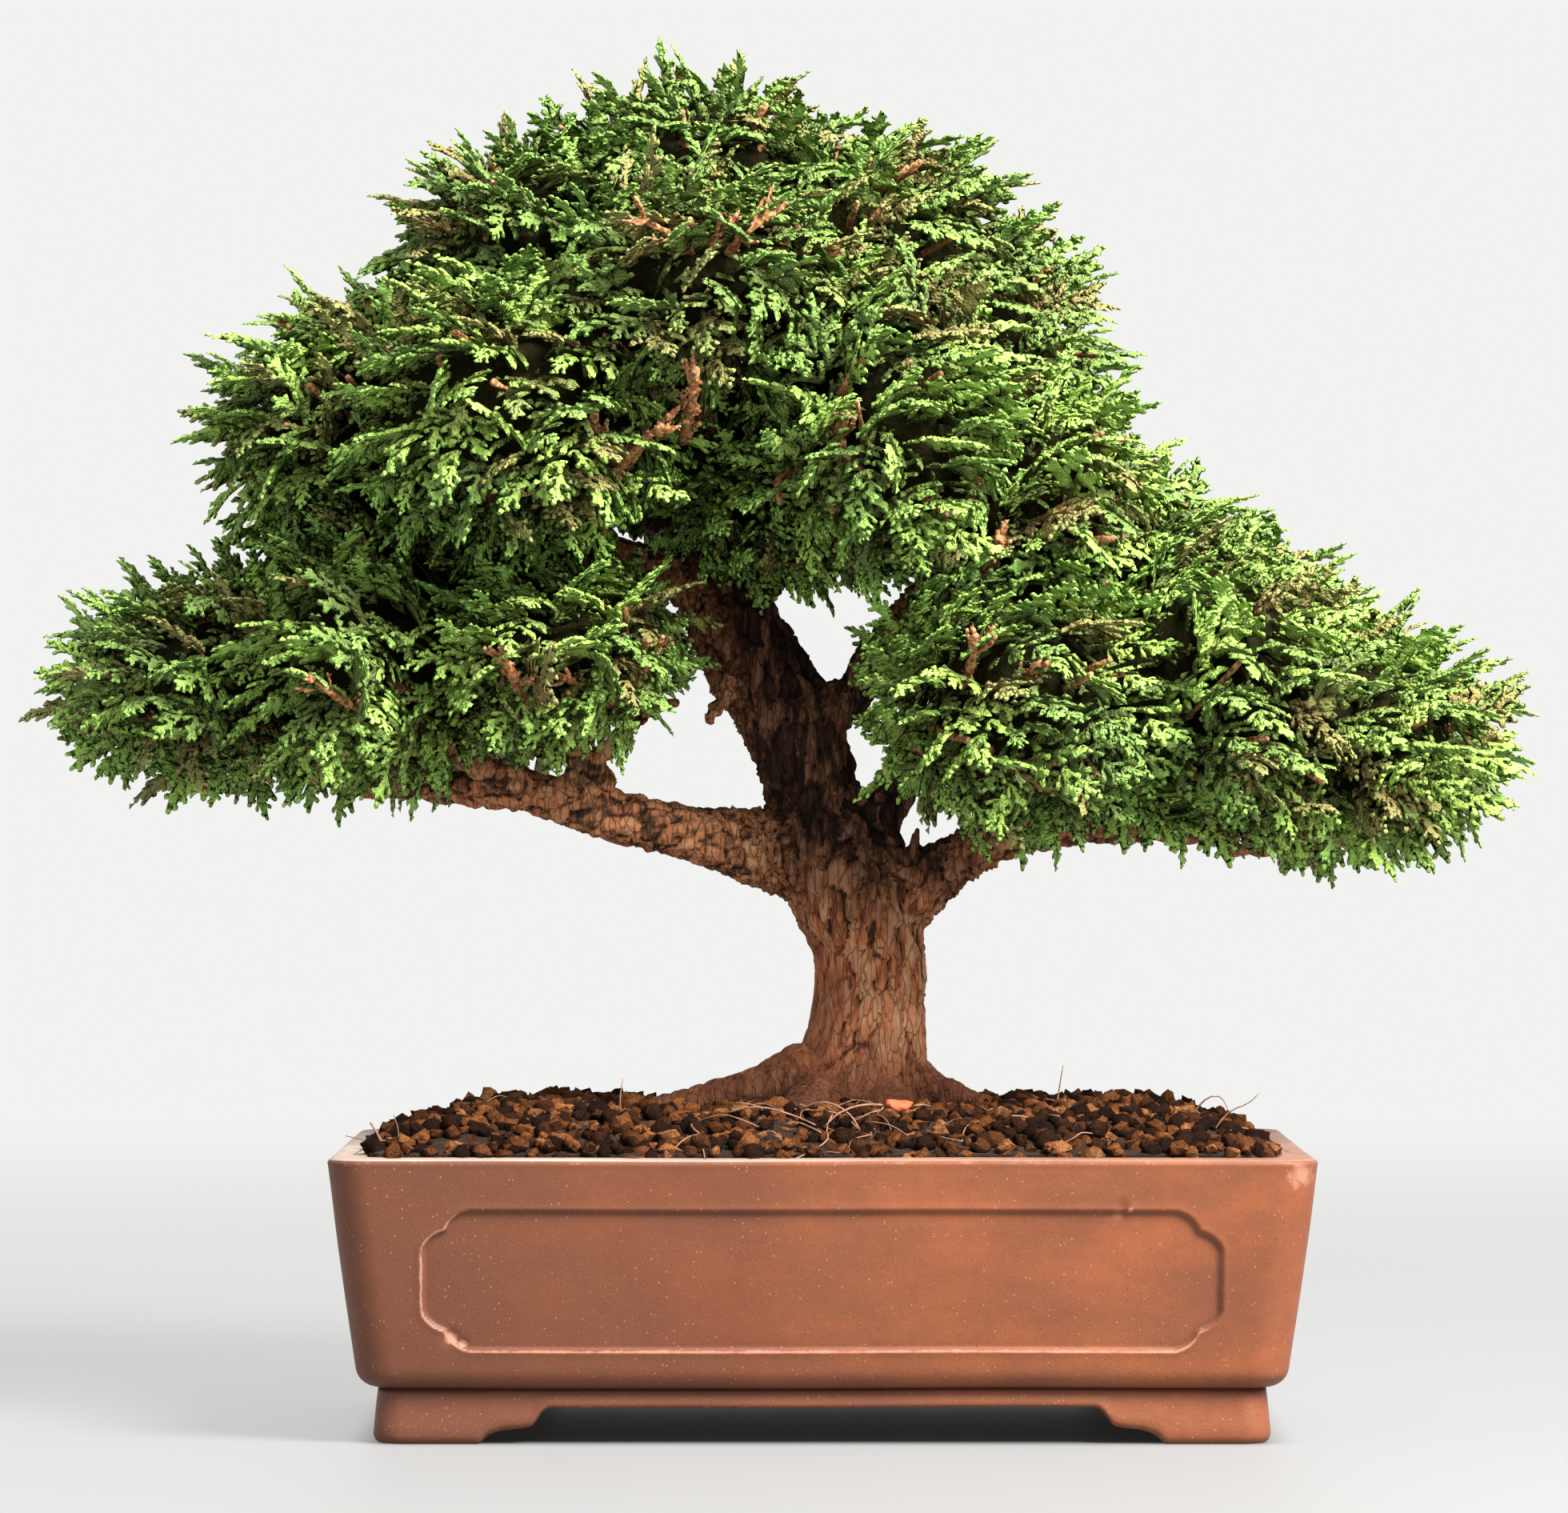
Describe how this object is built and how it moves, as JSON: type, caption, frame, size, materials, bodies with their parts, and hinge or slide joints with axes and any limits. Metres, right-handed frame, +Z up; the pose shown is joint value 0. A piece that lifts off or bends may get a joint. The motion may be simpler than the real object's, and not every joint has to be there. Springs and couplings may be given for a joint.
{
  "type": "bonsai tree in a pot",
  "caption": "Conifer bonsai with a flared trunk, spreading limbs and clipped foliage pads, rooted in granular soil in a rectangular clay pot on bracket feet.",
  "frame": {"origin": "bottom centre of the whole plant's box, on the plane its feet stand on", "axes": "+Z up; +X along the pot's long side, the tree's widest way; -Y is the viewing side"},
  "size_m": [0.302, 0.1888, 0.2792],
  "materials": {
    "fired_clay": "unglazed reddish-brown stoneware, smooth with fine sandy specks and pale worn edges",
    "bark": "flaky fibrous bark, orange-brown low on the trunk and dark brown above",
    "foliage": "scale-leaved sprays, dark green inside with bright yellow-green tips",
    "akadama": "moist baked-clay granules, dark red-brown",
    "grit": "coarse pale pumice grit",
    "mesh_plastic": "black moulded plastic mesh",
    "wire": "soft drawn wire, dull"
  },
  "bodies": {
    "root": {"drain_screen_left": "mesh_plastic", "drain_screen_right": "mesh_plastic", "drainage_grit": "grit", "foliage_apex_back": "foliage", "foliage_apex_left": "foliage", "foliage_apex_right": "foliage", "foliage_apex_top": "foliage", "foliage_crown_back_left": "foliage", "foliage_crown_back_right": "foliage", "foliage_crown_core": "foliage", "foliage_crown_front": "foliage", "foliage_crown_left_front": "foliage", "foliage_crown_left_outer": "foliage", "foliage_crown_right_front": "foliage", "foliage_crown_right_low": "foliage", "foliage_crown_right_outer": "foliage", "foliage_left_back": "foliage", "foliage_left_inner": "foliage", "foliage_left_mid": "foliage", "foliage_left_tip": "foliage", "foliage_right_back": "foliage", "foliage_right_inner": "foliage", "foliage_right_mid": "foliage", "foliage_right_shoulder": "foliage", "foliage_right_tip": "foliage", "pot": "fired_clay", "screen_clip_left": "wire", "screen_clip_right": "wire", "soil_bed": "akadama", "trunk": "bark"}
  },
  "joints": []
}
